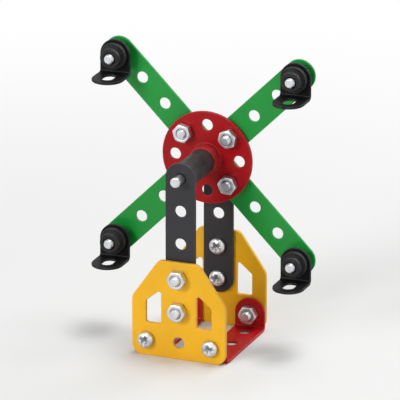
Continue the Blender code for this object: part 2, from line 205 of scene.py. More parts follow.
def turned_about(points, axis, degrees):
    """Points turned about the X, Y or Z axis through the origin by the right-hand rule."""
    first, second = {"X": (1, 2), "Y": (2, 0), "Z": (0, 1)}[axis]
    cosine, sine = math.cos(math.radians(degrees)), math.sin(math.radians(degrees))
    turned = points.copy()
    turned[:, first] = cosine * points[:, first] - sine * points[:, second]
    turned[:, second] = sine * points[:, first] + cosine * points[:, second]
    return turned


def middle_of(node):
    """The middle of the frame node's box."""
    low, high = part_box(node)
    return np.array((low + high) / 2)


def size_of(node):
    """The frame node's width, depth and height."""
    low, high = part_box(node)
    return np.array(high - low)


def body_of(node):
    """The body that the record gives the frame node to."""
    bodies = frame["record"]["behaviour"]["bodies"]
    return next(name for name, nodes in bodies.items() if node in nodes)


def fit(name, points, faces, mask, look, node):
    """Makes the mesh in its place with its faces outwards, and lets it stand for its frame node.

    The mask holds a value for each point, or one for all of them.
    """
    mesh = bpy.data.meshes.new(name)
    mesh.from_pydata(points.tolist(), [], [face for block in faces for face in block.tolist()])
    work = bmesh.new()
    work.from_mesh(mesh)
    bmesh.ops.recalc_face_normals(work, faces=work.faces)
    work.to_mesh(mesh)
    work.free()
    values = np.full(len(points), mask, np.float32)
    mesh.attributes.new("edge", 'FLOAT', 'POINT').data.foreach_set("value", values)
    mesh.shade_smooth()
    mesh.materials.append(look)
    piece = bpy.data.objects.new(name, mesh)
    bpy.context.collection.objects.link(piece)
    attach(piece, body_of(node))
    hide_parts(node)


class Flow:
    """A socket of a material, so that its maths reads as an expression and each step adds a node."""

    def __init__(self, tree, socket):
        self.tree = tree
        self.socket = socket

    def node(self, kind, settings, values, output=0):
        """Any node: its settings first, then a value or a link for each socket."""
        made = self.tree.nodes.new(kind)
        for key, value in settings.items():
            setattr(made, key, value)
        for key, value in values.items():
            if isinstance(value, Flow):
                self.tree.links.new(value.socket, made.inputs[key])
            else:
                made.inputs[key].default_value = value
        return Flow(self.tree, made.outputs[output])

    def math(self, operation, other):
        """A Math node of this value and another."""
        return self.node("ShaderNodeMath", {"operation": operation}, {0: self, 1: other})

    def __add__(self, other):
        return self.math('ADD', other)

    def __radd__(self, other):
        return self.math('ADD', other)

    def __mul__(self, other):
        return self.math('MULTIPLY', other)

    def __rmul__(self, other):
        return self.math('MULTIPLY', other)

    def step(self, low, high):
        """Rises from 0 at low to 1 at high."""
        return self.node("ShaderNodeMapRange", {"interpolation_type": 'SMOOTHSTEP'},
                         {"Value": self, "From Min": low, "From Max": high})

    def noise(self, per_metre, detail=2.0):
        """Cloudy values from 0 to 1 about so many times a metre, from this vector."""
        return self.node("ShaderNodeTexNoise", {},
                         {"Vector": self, "Scale": per_metre, "Detail": detail})

    def blend(self, first, second):
        """The first colour where this value is 0, the second where it is 1."""
        return self.node("ShaderNodeMix", {"data_type": 'RGBA'}, {0: self, 6: first, 7: second},
                         output=2)

    def relief(self, depth):
        """A bump whose full height is the depth in metres."""
        return self.node("ShaderNodeBump", {}, {"Height": self, "Strength": 1.0, "Distance": depth})


def finish(name, slot):
    """A new material with its Principled shader, and a Flow of the object's coordinates."""
    look = bpy.data.materials.new(name)
    look.use_nodes = True
    look["slot"] = slot
    tree = look.node_tree
    shader = tree.nodes["Principled BSDF"]
    place = Flow(tree, None).node("ShaderNodeTexCoord", {}, {}, output="Object")
    return look, shader, place


def feed(shader, sockets):
    """Links a Flow to the shader's socket of that name, and sets any other value on it."""
    for name, value in sockets.items():
        if isinstance(value, Flow):
            value.tree.links.new(value.socket, shader.inputs[name])
        else:
            shader.inputs[name].default_value = value


def shade_of(colour, share):
    """The colour times the share, with full alpha."""
    return tuple(min(c * share, 1.0) for c in colour) + (1.0,)


def enamel(name, slot, colour, rough, shine=0.22):
    """Stoved enamel: a slow drift of shade, paler colour on the edges for thinner paint and as a
    painted highlight, fine orange peel.
    """
    look, shader, place = finish(name, slot)
    drift = place.noise(CLOUDS_PER_METRE, 3.0)
    peel = place.noise(PEEL_PER_METRE)
    dust = place.noise(DUST_PER_METRE, 1.0)
    edge = place.node("ShaderNodeAttribute", {"attribute_name": "edge"}, {}, output="Fac")
    tone = drift.step(0.3, 0.7) * 0.7 + dust * 0.3
    body = tone.blend(shade_of(colour, 0.93), shade_of(colour, 1.05))
    pale = shade_of([0.85 * c + 0.05 for c in colour], 1.0)
    # Paler edges: partly wear of thinner paint, partly a painted edge highlight.
    edge_wear_and_highlight = edge * (0.25 + 0.35 * place.noise(CHIPS_PER_METRE).step(0.45, 0.65))
    feed(shader, {
        "Base Color": edge_wear_and_highlight.blend(body, pale),
        "Roughness": rough + 0.10 * drift + 0.06 * dust + 0.08 * edge,
        "Specular IOR Level": shine,
        "Coat Weight": 0.5 * shine,
        "Coat Roughness": 0.12,
        "Normal": (0.8 * peel + 0.2 * dust).relief(PEEL_DEPTH),
    })
    return look


yellow_enamel = enamel("yellow_enamel", "yellow_paint", YELLOW, rough=0.24)
for side in ("front", "rear"):
    node = side + "_base_plate"
    width, gauge, height = size_of(node)
    right = [(width / 2, 0, FOOT_RADIUS), (width / 2, PLATE_SHOULDER, SHOULDER_RADIUS),
             (PLATE_TOP_WIDTH / 2, height, TOP_RADIUS)]
    outline = rounded(right + [(-x, z, radius) for x, z, radius in reversed(right)])
    inner, outer = WINDOW_POST / 2, WINDOW_POST / 2 + WINDOW_WIDTH
    window = rounded([(inner, WINDOW_SILL, WINDOW_RADIUS), (outer, WINDOW_SILL, WINDOW_RADIUS),
                      (outer, WINDOW_OUTER_TOP, WINDOW_RADIUS),
                      (inner, WINDOW_INNER_TOP, WINDOW_RADIUS)])
    holes = [circle((x * PITCH, z * PITCH), HOLE_DIA) for x, z in PLATE_HOLE_PITCHES]
    loops = [outline] + holes + [window, window[::-1] * (-1, 1)]
    points, faces, mask = punched(loops, [rolled_edge(gauge, PLATE_EDGE)] * len(loops))
    points = turned_about(points, "X", 90) + (0, middle_of(node)[1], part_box(node)[0].z)
    fit(side + "_plate_enamelled", points, faces, mask, yellow_enamel, node)

# Uprights
# Two flat strips with half round ends and five holes, sheared from strip steel and enamelled
# charcoal.  Each is bolted to the inside of its plate through two holes and carries the axle
# in its top hole.
UPRIGHT_HOLES = 5
STRIP_EDGE = 0.24 * MM
CHARCOAL = (0.036, 0.034, 0.037)
END_STEPS = 28


def strip_outline(first, last, width, marks=()):
    """Two half circles about first and last on the second axis, joined by straight sides.

    The sides carry a point at each mark, where a fold needs one.
    """
    marks = np.sort(np.array(marks, float))
    right = np.stack([np.full(len(marks), width / 2), marks], -1)
    left = right[::-1] * (-1, 1)
    top = arc((0, last), width / 2, 0, 180, END_STEPS)
    bottom = arc((0, first), width / 2, 180, 360, END_STEPS)
    return np.concatenate([right, top, left, bottom])


def flat_strip(hole_count, width, gauge):
    """A punched strip along the second axis with its middle at the origin, a hole every pitch."""
    reach = (hole_count - 1) / 2 * PITCH
    holes = [circle((0, place), HOLE_DIA) for place in np.linspace(-reach, reach, hole_count)]
    loops = [strip_outline(-reach, reach, width)] + holes
    return punched(loops, [rolled_edge(gauge, STRIP_EDGE)] * len(loops))


charcoal_enamel = enamel("charcoal_enamel", "black_paint", CHARCOAL, rough=0.34, shine=0.16)
for side in ("front", "rear"):
    node = side + "_upright"
    width, gauge, length = size_of(node)
    points, faces, mask = flat_strip(UPRIGHT_HOLES, width, gauge)
    points = turned_about(points, "X", 90) + middle_of(node)
    fit(side + "_upright_enamelled", points, faces, mask, charcoal_enamel, node)

# Base strips
# Two strips with three floor holes, folded up at both ends into round-topped tabs and enamelled
# red.  The toy stands on their flats, and the plates are bolted to the outside of their tabs.
STRIP_GAUGE = 1.0 * MM
BEND_RADIUS = 1.0 * MM
FOLD_STEPS = 10
ACROSS_STEPS = 9
ACROSS_REACH = 0.42
RED = (0.500, 0.010, 0.014)


def fold(points, start, radius, side):
    """Bends a sheet beyond start: y and z there become a point on a right-angled arc of the radius.

    It bends upwards where side is 1 and downwards where it is -1, and runs on straight after.
    """
    along = points[:, 1] - start
    length = radius * math.pi / 2
    angle = np.clip(along, 0, length) / radius
    rest = np.maximum(along - length, 0)
    arm = radius - side * points[:, 2]
    bent = points.copy()
    bent[:, 1] = start + arm * np.sin(angle) + rest * np.cos(angle)
    bent[:, 2] = side * (radius - arm * np.cos(angle) + rest * np.sin(angle))
    return np.where(along[:, None] > 0, bent, points)


def fold_rows(marks, width):
    """Inner points in a row across the sheet at each mark, so that the flat faces can bend."""
    x = np.linspace(-ACROSS_REACH, ACROSS_REACH, ACROSS_STEPS) * width
    grid_x, grid_y = np.meshgrid(x, marks)
    return np.stack([grid_x.ravel(), grid_y.ravel()], -1)


red_enamel = enamel("red_enamel", "red_paint", RED, rough=0.27, shine=0.12)
for side in ("left", "right"):
    node = side + "_base_strip"
    width, length, _ = size_of(node)
    radius = BEND_RADIUS + STRIP_GAUGE / 2
    start = length / 2 - STRIP_GAUGE / 2 - radius
    fold_length = radius * math.pi / 2
    tab_hole = start + fold_length + PITCH / 2 - STRIP_GAUGE / 2 - radius
    marks = start + np.linspace(0, fold_length, FOLD_STEPS + 1)
    marks = np.concatenate([-marks[::-1], marks])
    holes = [circle((0, y), HOLE_DIA) for y in (-tab_hole, -PITCH, 0, PITCH, tab_hole)]
    loops = [strip_outline(-tab_hole, tab_hole, width, marks)] + holes
    edges = [rolled_edge(STRIP_GAUGE, STRIP_EDGE)] * len(loops)
    points, faces, mask = punched(loops, edges, fold_rows(marks, width))
    # Each end is folded up in its turn.
    for _ in range(2):
        points = turned_about(fold(points, start, radius, 1), "Z", 180)
    points = points + (*middle_of(node)[:2], STRIP_GAUGE / 2)
    fit(side + "_strip_enamelled", points, faces, mask, red_enamel, node)

# Screws and nuts of the stand
# Zinc plated pan head screws with a cross recess, and hexagon nuts.  The feet's heads are
# outside and their nuts inside, and the uprights' are the other way about.
SCREW_STEPS = 72
HEAD_HEIGHT = 2.4 * MM
HEAD_RIM = 0.95 * MM
HEAD_EDGE = 0.15 * MM
HEAD_SHARE = 0.45
DOME_POWER = 3.2
POLE_RADIUS = 0.1 * MM
RECESS_WIDTH = 1.3 * MM
RECESS_LENGTH = 3.8 * MM
RECESS_DEPTH = 1.2 * MM
RECESS_WALL = 0.16 * MM
RECESS_FADE = 0.65
RECESS_FIELD = 2.2 * MM
RECESS_ROWS = 30
BRIM_START = 1.04
BRIM_ROWS = 9
SHANK_DIA = 3.8 * MM
THREAD_PITCH = 0.7 * MM
THREAD_DEPTH = 0.26 * MM
THREAD_STEP = 0.1 * MM
# How dark the thread's roots are painted, as painted shade.
THREAD_SHADE = 0.4
TIP_CHAMFER = 0.5 * MM
TIP_LENGTH = 0.7 * MM
TIP_CENTRE = 0.5 * MM
NUT_STEPS = 96
NUT_ROWS = 6
NUT_LAND = 0.94
NUT_CHAMFER = 30
NUT_BORE = 3.9 * MM
NUT_BEVEL = 0.3 * MM
BRACE = 0.05 * MM
BRACE_SHARE = 0.3
BRIGHT_ZINC = (0.70, 0.70, 0.71, 1)
DULL_ZINC = (0.56, 0.57, 0.60, 1)
# The colour painted into recesses and thread roots as painted shade.
PAINTED_SHADE_ZINC = (0.05, 0.06, 0.08, 1)
PATCHES_PER_METRE = 350.0
MARKS_PER_METRE = 2600.0
MARK_DEPTH = 0.01 * MM
STAND_TURNS = {"left_foot": 28, "right_foot": -17, "upright_lower": 8, "upright_upper": -35}


def braced(rows, closed=False):
    """Rows of (radius, height, ...) with one more close to either end of each long stretch.

    The added row is the end plus a short step towards the other end, so that a flat face stays
    flat where its normals meet those of its neighbours.
    """
    made = []
    for here, there in zip(rows, np.roll(rows, -1, 0)[:len(rows) if closed else -1]):
        gap = np.linalg.norm((there - here)[..., :2], axis=-1, keepdims=True)
        made.append(here)
        if gap.max() > 4 * BRACE:
            step = np.minimum(BRACE / np.maximum(gap, BRACE), BRACE_SHARE) * (there - here)
            made += [here + step, there - step]
    return np.stack(made if closed else made + [rows[-1]])


def fans(rows, columns):
    """Triangles that close a grid's first and last row at the two points that follow the grid."""
    column = np.arange(columns)
    beside = (column + 1) % columns
    last = (rows - 1) * columns
    first_point = np.full(columns, rows * columns)
    return [np.stack([first_point, beside, column], -1),
            np.stack([first_point + 1, last + column, last + beside], -1)]


def angles(steps):
    """Evenly spaced angles of one turn, in radians."""
    return np.arange(steps) / steps * 2 * math.pi


def round_grid(rows, steps):
    """Rings about Y, a point being (radius cos a, height, radius sin a) of the angle a.

    Each row holds one (radius, height), or one for each angle.
    """
    rows = rows[:, None] if rows.ndim == 2 else rows
    radius = np.broadcast_to(rows[..., 0], (len(rows), steps))
    height = np.broadcast_to(rows[..., 1], (len(rows), steps))
    ring = radius * np.cos(angles(steps)), height, radius * np.sin(angles(steps))
    return np.stack(ring, -1).reshape(-1, 3)


def turning(rows, steps, first, last):
    """Points and faces of rings about Y, closed by a point on the axis at y = first and y = last."""
    points = np.concatenate([round_grid(rows, steps), [[0, first, 0], [0, last, 0]]])
    return points, [quads(len(rows), steps)] + fans(len(rows), steps)


def hollow_turning(rows, steps):
    """Points and faces of rings about Y whose last row joins the first."""
    rows = braced(rows, closed=True)
    return round_grid(rows, steps), [quads(len(rows), steps, closed_rows=True)]


def cross_recess(x, z):
    """Depth of a cross recess: two crossing bars with sloping walls, shallower towards the tips."""
    bar = np.maximum(np.abs(x) - RECESS_WIDTH / 2, np.abs(z) - RECESS_LENGTH / 2)
    other = np.maximum(np.abs(z) - RECESS_WIDTH / 2, np.abs(x) - RECESS_LENGTH / 2)
    inside = np.clip(0.5 - np.minimum(bar, other) / RECESS_WALL, 0, 1)
    fade = 1 - RECESS_FADE * np.clip(np.hypot(x, z) / (RECESS_LENGTH / 2), 0, 1)
    return RECESS_DEPTH * inside * fade


def screw(head_dia, length):
    """A pan head screw about Y: its underside on y = 0, its head in front and its shank behind.

    The head is a flattened dome, whose height is the root of 1 - (r / head radius) ^ power, less
    the cross recess.  The shank's radius falls and rises as a triangle wave of y / pitch - angle,
    which is a screw thread, and tapers at the tip.  Returns points, faces and a mask of painted
    shade: 1 in the recess, and less in the thread's roots.
    """
    head = head_dia / 2
    brim = np.linspace(math.asin(BRIM_START * RECESS_FIELD / head), math.pi / 2, BRIM_ROWS)
    r = np.concatenate([np.linspace(POLE_RADIUS, RECESS_FIELD, RECESS_ROWS), head * np.sin(brim)])
    bulge = np.sqrt(np.maximum(1 - (r / head) ** DOME_POWER, 0))
    dome = -HEAD_RIM - (HEAD_HEIGHT - HEAD_RIM) * bulge
    angle = angles(SCREW_STEPS)
    recess = cross_recess(r[:, None] * np.cos(angle), r[:, None] * np.sin(angle))
    rim = np.array([[head, -HEAD_RIM / 2], [head, -HEAD_EDGE], [head - HEAD_EDGE, 0],
                    [SHANK_DIA / 2, 0]])
    y = np.arange(THREAD_STEP, length - THREAD_STEP / 2, THREAD_STEP)
    wave = np.abs((y[:, None] / THREAD_PITCH - angle / (2 * math.pi)) % 1 * 2 - 1)
    narrowing = TIP_CHAMFER * np.clip((y - length) / TIP_LENGTH + 1, 0, 1)
    shank = np.minimum(SHANK_DIA / 2 - THREAD_DEPTH * wave, SHANK_DIA / 2 - narrowing[:, None])
    tip = np.array([[SHANK_DIA / 2 - TIP_CHAMFER, length], [TIP_CENTRE, length]])
    wide = np.ones(SCREW_STEPS)
    radius = np.concatenate([r[:, None] * wide, rim[:, :1] * wide, shank, tip[:, :1] * wide])
    height = np.concatenate([dome[:, None] + recess, rim[:, 1:] * wide, y[:, None] * wide,
                             tip[:, 1:] * wide])
    # The recess and the thread's roots get a mask of painted shade.
    painted_shade = np.concatenate([recess / RECESS_DEPTH, np.zeros((len(rim), SCREW_STEPS)),
                             THREAD_SHADE * wave ** 2, np.zeros((len(tip), SCREW_STEPS))])
    rows = braced(np.stack([radius, height, painted_shade], -1))
    points, faces = turning(rows, SCREW_STEPS, RECESS_DEPTH - HEAD_HEIGHT, length)
    return points, faces, np.concatenate([rows[..., 2].ravel(), [1, 0]])


def hexagon(angle, flat):
    """Distance to a hexagon's side: flat over the cosine of the angle to the side's middle.

    One of the middles lies at the angle 90 degrees.
    """
    sixth = math.radians(60)
    return flat / np.cos(angle % sixth - sixth / 2)


def nut(width, height):
    """A hexagon nut about Y, its front on y = 0: rings from the bore over the hexagon and back.

    Beyond the flat land each face falls away at the chamfer's angle, which rounds the corners off.
    """
    side = hexagon(angles(NUT_STEPS), width / 2)
    land = width / 2 * NUT_LAND
    bore = NUT_BORE / 2
    wide = np.ones(NUT_STEPS)
    out = land + np.linspace(0, 1, NUT_ROWS)[:, None] * (side - land)
    drop = np.maximum(out - land, 0) * math.tan(math.radians(NUT_CHAMFER))
    front = [bore * wide, (bore + NUT_BEVEL) * wide]
    radius = np.concatenate([front, out, out[::-1], front[::-1]])
    depth = np.concatenate([[NUT_BEVEL * wide], [0 * wide], drop, height - drop[::-1],
                            [height * wide], [(height - NUT_BEVEL) * wide]])
    return hollow_turning(np.stack([radius, depth], -1), NUT_STEPS)


def zinc(name, slot, rough):
    """Bright zinc plate: a slightly blue white metal, with tumbling marks and dulled patches.

    The mask is 1 in a recess and less in a thread's root: there the colour is darkened as painted
    shade, and the roughness raised.
    """
    look, shader, place = finish(name, slot)
    patches = place.noise(PATCHES_PER_METRE, 3.0)
    marks = place.noise(MARKS_PER_METRE, 2.0)
    painted_shade = place.node("ShaderNodeAttribute", {"attribute_name": "edge"}, {}, output="Fac")
    plate = patches.step(0.3, 0.7).blend(DULL_ZINC, BRIGHT_ZINC)
    feed(shader, {
        # Painted shade: the base colour is darkened in the recess and the thread's roots.
        "Base Color": (0.85 * painted_shade).blend(plate, PAINTED_SHADE_ZINC),
        "Metallic": 1.0,
        "Roughness": rough + 0.14 * patches + 0.08 * marks + 0.2 * painted_shade,
        "Normal": marks.relief(MARK_DEPTH),
    })
    return look


zinc_plate = zinc("zinc_plated_steel", "zinc_plate", rough=0.25)


def fit_screw(node, turn):
    """A screw in its node's place, with its cross turned about its own axis.

    Its head goes where the frame node is widest.
    """
    head_dia, length, _ = size_of(node)
    middle = middle_of(node)
    solid = frame["nodes"][node].data
    corners = np.empty(3 * len(solid.vertices), np.float32)
    solid.vertices.foreach_get("co", corners)
    corners = corners.reshape(-1, 3) - middle
    on_head = np.hypot(corners[:, 0], corners[:, 2]) > HEAD_SHARE * head_dia
    points, faces, mask = screw(head_dia, length - HEAD_HEIGHT)
    points = turned_about(points, "Y", turn) + (0, HEAD_HEIGHT - length / 2, 0)
    if corners[on_head, 1].mean() > 0:
        points = turned_about(points, "Z", 180)
    fit(node + "_zinc", points + middle, faces, mask, zinc_plate, node)


def front_of(node):
    """The middle of the frame node's front face."""
    return middle_of(node) - (0, size_of(node)[1] / 2, 0)


def fit_nut(node, turn=0):
    """A nut in its node's place, turned about its own axis."""
    _, height, width = size_of(node)
    points, faces = nut(width, height)
    points = turned_about(points, "Y", turn) + front_of(node)
    fit(node + "_zinc", points, faces, 0, zinc_plate, node)


for side in ("front", "rear"):
    for place, turn in STAND_TURNS.items():
        fit_screw(side + "_" + place + "_bolt", turn)
        fit_nut(side + "_" + place + "_nut")

# Hub disc
# A steel disc with eight holes and a boss, turned and enamelled red, and fixed to the axle by a
# grub screw in the boss.
DISC_EDGE = 0.25 * MM
DISC_GAUGE = 1.2 * MM
DISC_HOLES = 8
DISC_STEPS = 216
BOSS_DIA = 11.0 * MM
BOSS_EDGE = 0.4 * MM
BOSS_ROWS = 36
AXLE_BORE = 4.4 * MM
GRUB_HOLE = 2.9 * MM
GRUB_HOLE_DEPTH = 0.9 * MM
GRUB_HOLE_WALL = 0.15 * MM
# The strips' red darkened, as painted shade on the disc.
PAINTED_SHADE_RED = (0.385, 0.006, 0.009)


def boss_profile(gauge, length):
    """Rows of (inset from the bore, height) from the disc's front up the boss, and down its bore.

    The boss meets the disc in a quarter circle and ends in another, and its bore is chamfered.
    """
    rise = gauge / 2 + length
    wall = BOSS_DIA / 2 - AXLE_BORE / 2
    turn = np.linspace(0, math.pi / 2, EDGE_STEPS)
    curve = BOSS_EDGE * np.stack([np.cos(turn) - 1, np.sin(turn) - 1], -1)
    lip = [[wall + BOSS_EDGE + LIP, gauge / 2]]
    foot = (wall, gauge / 2) - curve[:, ::-1]
    side_heights = np.linspace(gauge / 2 + BOSS_EDGE, rise - BOSS_EDGE, BOSS_ROWS)[1:-1]
    side = np.stack([np.full(len(side_heights), wall), side_heights], -1)
    brow = (wall, rise) + curve
    mouth = [[BOSS_EDGE, rise], [BOSS_EDGE / 3, rise - BOSS_EDGE / 4], [0, rise - BOSS_EDGE]]
    under = rolled_edge(gauge, DISC_EDGE)[EDGE_STEPS + 1:]
    return np.concatenate([lip, foot, side, brow, mouth, under])


# The disc's enamel is a darker copy of the strips' red: painted shade.
painted_shade_red_enamel = enamel("painted_shade_red_enamel", "red_paint", PAINTED_SHADE_RED, rough=0.28, shine=0.11)
node = "hub_disc"
disc_dia, disc_depth, _ = size_of(node)
boss_length = disc_depth - DISC_GAUGE
pivots = {joint["child"]: np.array(joint["pos_m"]) for joint in frame["joints"]}
hub = pivots["wheel"]
holes = [circle((PITCH * math.cos(a), PITCH * math.sin(a)), HOLE_DIA) for a in angles(DISC_HOLES)]
loops = [circle((0, 0), disc_dia, DISC_STEPS), circle((0, 0), AXLE_BORE, DISC_STEPS)] + holes
disc_profile = rolled_edge(DISC_GAUGE, DISC_EDGE)
profiles = [disc_profile, boss_profile(DISC_GAUGE, boss_length)] + [disc_profile] * DISC_HOLES
points, faces, mask = punched(loops, profiles)

# The grub screw's hole is sunk into the boss's wall, on the side that ends up below.
away = np.hypot(points[:, 0], points[:, 1])
on_wall = (away > BOSS_DIA / 2 - BOSS_EDGE) & (away < BOSS_DIA / 2 + LIP / 2) & (points[:, 1] < 0)
from_grub = np.hypot(points[:, 0], points[:, 2] - DISC_GAUGE / 2 - boss_length / 2)
inside = np.clip((GRUB_HOLE / 2 - from_grub) / GRUB_HOLE_WALL + 0.5, 0, 1)
sink = on_wall * inside * GRUB_HOLE_DEPTH
points[:, :2] *= (1 - sink / np.maximum(away, MM))[:, None]
points = turned_about(points, "X", 90) + (hub[0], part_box(node)[1].y - DISC_GAUGE / 2, hub[2])
fit("hub_disc_enamelled", points, faces, mask, painted_shade_red_enamel, node)

# Arms
# Two nine-hole strips as wide as the uprights, sheared from strip steel and enamelled green.
# They cross behind the disc and are clamped to it by the hub screws.
ARM_HOLES = 9
GREEN = (0.010, 0.296, 0.041)
green_enamel = enamel("green_enamel", "green_paint", GREEN, rough=0.24)
for letter, lean in (("a", -45), ("b", 45)):
    node = "arm_" + letter
    points, faces, mask = flat_strip(ARM_HOLES, size_of("front_upright")[0], size_of(node)[1])
    points = turned_about(turned_about(points, "X", 90), "Y", lean) + middle_of(node)
    fit("arm_" + letter + "_enamelled", points, faces, mask, green_enamel, node)

# Axle, spacers and grub screw
# A plain steel rod turns in the top holes of the uprights.  Black moulded spacers keep the wheel
# between them, and the grub screw in the boss, with a hexagon socket, grips the rod.
ROUND_STEPS = 96
AXLE_EDGE = 0.35 * MM
RING_PITCH = 1.2 * MM
RING_DEPTH = 0.06 * MM
RING_SHARE = 0.125
RING_STEP = 0.1 * MM
SPACER_EDGE = 0.35 * MM
BORE_LEAD = 0.25 * MM
SOCKET_WIDTH = 1.3 * MM
SOCKET_DEPTH = 0.9 * MM
SOCKET_DRAFT = 0.99
SOCKET_CENTRE = 0.3
GRUB_EDGE = 0.2 * MM
GRUB_CENTRE = 0.2
TUBE_BLACK = (0.020, 0.018, 0.018)
WIPES_PER_METRE = 240.0
GRAIN_PER_METRE = 4200.0
GRAIN_DEPTH = 0.018 * MM


def rounded_end(diameter, edge):
    """Rows of (radius, y) at a round piece's front: a point of the flat end, a quarter circle."""
    turn = np.linspace(0, math.pi / 2, EDGE_STEPS)
    curve = np.stack([np.sin(turn) - 1, 1 - np.cos(turn)], -1) * edge + (diameter / 2, 0)
    return np.concatenate([[[diameter / 2 - edge - LIP, 0]], curve])


def rod(diameter, length, edge):
    """A solid rod about Y, its front on y = 0, with two rounded ends."""
    front = rounded_end(diameter, edge)
    rows = np.concatenate([front, front[::-1] * (1, -1) + (0, length)])
    return turning(rows, ROUND_STEPS, 0, length)


def sleeve(bore, outside):
    """A closed ring of (radius, y) rows: the outside from front to rear, and the bore back again.

    The bore is chamfered at both ends.
    """
    front, rear = outside[0, 1], outside[-1, 1]
    inside = np.array([[bore / 2 + BORE_LEAD, rear], [bore / 2, rear - BORE_LEAD],
                       [bore / 2, front + BORE_LEAD], [bore / 2 + BORE_LEAD, front]])
    return hollow_turning(np.concatenate([outside, inside]), ROUND_STEPS)


def ringed_tube(diameter, length):
    """The outside of a spacer: rounded ends, and shallow grooves a ring pitch apart between them."""
    front = rounded_end(diameter, SPACER_EDGE)
    y = np.arange(SPACER_EDGE + RING_STEP, length - SPACER_EDGE, RING_STEP)
    groove = RING_DEPTH * np.clip(1 - np.abs(y / RING_PITCH % 1 - 0.5) / RING_SHARE, 0, 1)
    wall = np.stack([diameter / 2 - groove, y], -1)
    return np.concatenate([front, wall, front[::-1] * (1, -1) + (0, length)])


def socket_screw(diameter, length):
    """A headless screw about Y: rings up the walls of a hexagon socket in its front, and back.

    The front is on y = 0, and the socket's rings are a hexagon where the others are circles.
    """
    socket = hexagon(angles(ROUND_STEPS), SOCKET_WIDTH / 2)
    wide = np.ones(ROUND_STEPS)
    rim = diameter / 2
    radius = np.array([SOCKET_CENTRE * socket, SOCKET_DRAFT * socket, socket,
                       (rim - GRUB_EDGE) * wide, rim * wide, rim * wide, GRUB_CENTRE * rim * wide])
    depths = (SOCKET_DEPTH, SOCKET_DEPTH, 0, 0, GRUB_EDGE, length, length)
    rows = braced(np.stack([radius, np.outer(depths, wide)], -1))
    return turning(rows, ROUND_STEPS, SOCKET_DEPTH, length)


def moulded(name, slot, colour, rough):
    """Moulded black plastic: dull, with a faint spark-eroded grain and slight wiping marks."""
    look, shader, place = finish(name, slot)
    grain = place.noise(GRAIN_PER_METRE, 2.0)
    wipes = place.noise(WIPES_PER_METRE, 3.0)
    feed(shader, {
        "Base Color": wipes.step(0.35, 0.7).blend(shade_of(colour, 0.8), shade_of(colour, 1.7)),
        "Roughness": rough + 0.12 * wipes + 0.06 * grain,
        "Specular IOR Level": 0.25,
        "Normal": grain.relief(GRAIN_DEPTH),
    })
    return look


node = "axle"
drawn_steel = zinc("drawn_steel", "zinc_plate", rough=0.2)
diameter, length, _ = size_of(node)
points, faces = rod(diameter, length, AXLE_EDGE)
fit("axle_rod", points + front_of(node), faces, 0, drawn_steel, node)

tube_plastic = moulded("black_tube", "black_plastic", TUBE_BLACK, rough=0.38)
for node in ("front_spacer_tube", "rear_spacer"):
    _, length, diameter = size_of(node)
    points, faces = sleeve(AXLE_BORE, ringed_tube(diameter, length))
    fit(node + "_moulding", points + front_of(node), faces, 0, tube_plastic, node)

node = "hub_grub_screw"
diameter, _, length = size_of(node)
points, faces = socket_screw(diameter, length)
points = turned_about(points, "X", 90) + (*middle_of(node)[:2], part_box(node)[0].z)
fit("grub_screw_steel", points, faces, 0, zinc_plate, node)

# Hub screws and nuts
# Zinc plated like the stand's.  They fix the disc to the arms, with their heads behind the arms
# and their nuts in front of the disc.
HUB_TURNS = {"upper_left": 12, "upper_right": -20, "lower_left": 33, "lower_right": 5}
for place, turn in HUB_TURNS.items():
    fit_screw("hub_" + place + "_bolt", turn)
    fit_nut("hub_" + place + "_nut", turn)

# Seats
# At each arm end a long screw is locked by a nut.  A folded black bracket swings freely on it as
# the seat, and a stepped black bush keeps the bracket on.
SEAT_GAUGE = 1.0 * MM
SEAT_DROP = 7.8 * MM
SEAT_REACH = 13.8 * MM
SLOT_LENGTH = 7.0 * MM
SLOT_OFFSET = 7.0 * MM
BUSH_DIA = 7.6 * MM
BUSH_STEP = 3.0 * MM
BUSH_EDGE = 0.3 * MM
BUSH_FILLET = 0.2 * MM
BUSH_BACK_EDGE = 0.15 * MM
PLASTIC = (0.011, 0.011, 0.012)
BLACK = (0.009, 0.009, 0.010)
SEAT_TURNS = {"upper_left": 15, "upper_right": -8, "lower_left": 40, "lower_right": 22}


def long_hole(centre, length, width):
    """A slot along the second axis: two half circles of the width."""
    reach = (length - width) / 2
    half = HOLE_STEPS // 2
    return np.concatenate([arc((centre[0], centre[1] + reach), width / 2, 0, 180, half),
                           arc((centre[0], centre[1] - reach), width / 2, 180, 360, half)])


def seat(width, gauge):
    """A round-topped leg about the origin, folded forwards at its foot and slotted there.

    The foot's lengths are measured from the leg's back, which is at past_fold on the flat sheet.
    """
    radius = BEND_RADIUS + gauge / 2
    start = SEAT_DROP - gauge / 2 - radius
    fold_length = radius * math.pi / 2
    past_fold = start + fold_length - radius - gauge / 2
    marks = start + np.linspace(0, fold_length, FOLD_STEPS + 1)
    slot = long_hole((0, past_fold + SLOT_OFFSET), SLOT_LENGTH, HOLE_DIA)
    outline = strip_outline(0, past_fold + SEAT_REACH - width / 2, width, marks)
    loops = [outline, circle((0, 0), HOLE_DIA), slot]
    edges = [rolled_edge(gauge, STRIP_EDGE)] * len(loops)
    points, faces, mask = punched(loops, edges, fold_rows(marks, width))
    return turned_about(fold(points, start, radius, -1), "X", -90), faces, mask


def stepped_bush(flange_dia, length):
    """The bush's outside: a slim front with a rounded nose, a step, and the wide flange behind."""
    nose = rounded_end(BUSH_DIA, BUSH_EDGE)
    fillet = BUSH_FILLET * np.array([[0, -1], [0.3, -0.3], [1, 0]]) + (BUSH_DIA / 2, BUSH_STEP)
    shoulder = rounded_end(flange_dia, BUSH_EDGE)[1:] + (0, BUSH_STEP)
    back = [[flange_dia / 2, length - BUSH_BACK_EDGE], [flange_dia / 2 - BUSH_BACK_EDGE, length]]
    return np.concatenate([nose, fillet, shoulder, back])


